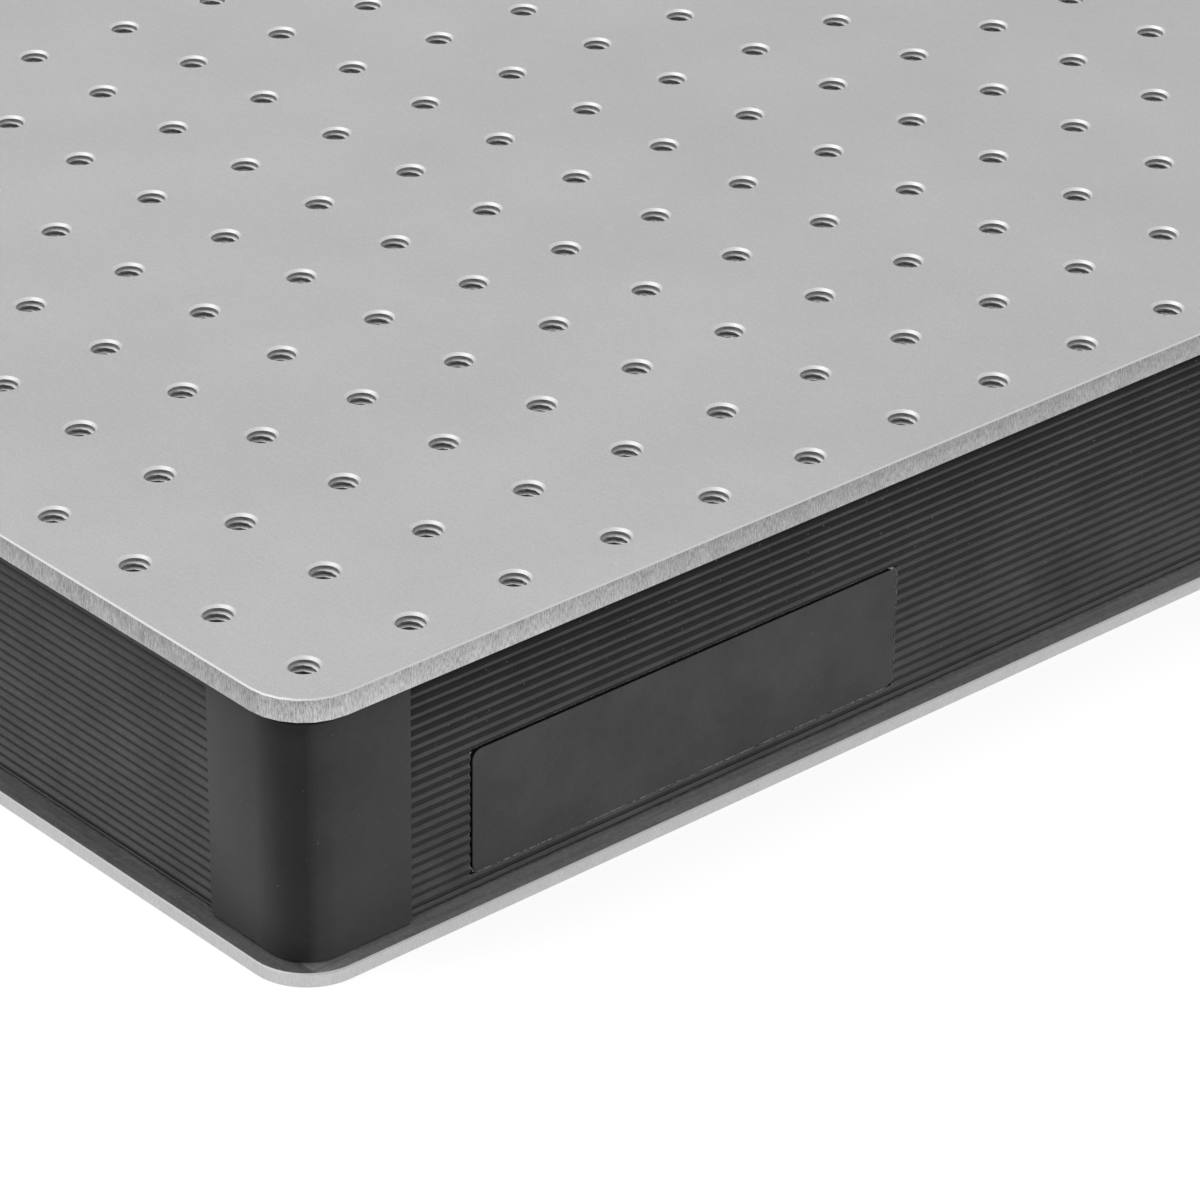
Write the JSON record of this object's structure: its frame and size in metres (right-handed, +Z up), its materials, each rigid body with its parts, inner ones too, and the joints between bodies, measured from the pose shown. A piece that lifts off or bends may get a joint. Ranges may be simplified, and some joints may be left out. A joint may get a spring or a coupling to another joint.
{
  "type": "optical breadboard",
  "caption": "Rectangular honeycomb-core breadboard with a grid of tapped holes in its steel top, ribbed black side trim and a blank nameplate.",
  "frame": {"origin": "middle of the underside", "axes": "+X along the length, +Y across the width away from the nameplate, +Z up out of the tapped face"},
  "size_m": [0.45, 0.3, 0.061],
  "materials": {
    "top_steel": "matt, finely ground stainless steel with ground edges",
    "bottom_steel": "smooth steel sheet with a bright cut edge",
    "core_steel": "plain corrugated steel foil",
    "wall_steel": "black painted steel sheet",
    "ribbed_plastic": "satin black extruded plastic with fine ribs",
    "cap_plastic": "satin black moulded plastic",
    "plate_plastic": "smooth satin black plastic, blank"
  },
  "bodies": {
    "root": {"bottom_skin": "bottom_steel", "core_ribbon_01": "core_steel", "core_ribbon_02": "core_steel", "core_ribbon_03": "core_steel", "core_ribbon_04": "core_steel", "core_ribbon_05": "core_steel", "core_ribbon_06": "core_steel", "core_ribbon_07": "core_steel", "core_ribbon_08": "core_steel", "core_ribbon_09": "core_steel", "core_ribbon_10": "core_steel", "core_ribbon_11": "core_steel", "corner_cap_back_left": "cap_plastic", "corner_cap_back_right": "cap_plastic", "corner_cap_front_left": "cap_plastic", "corner_cap_front_right": "cap_plastic", "nameplate": "plate_plastic", "side_panel_back": "ribbed_plastic", "side_panel_front": "ribbed_plastic", "side_panel_left": "ribbed_plastic", "side_panel_right": "ribbed_plastic", "top_skin": "top_steel", "wall_back": "wall_steel", "wall_front": "wall_steel", "wall_left": "wall_steel", "wall_right": "wall_steel"}
  },
  "joints": []
}
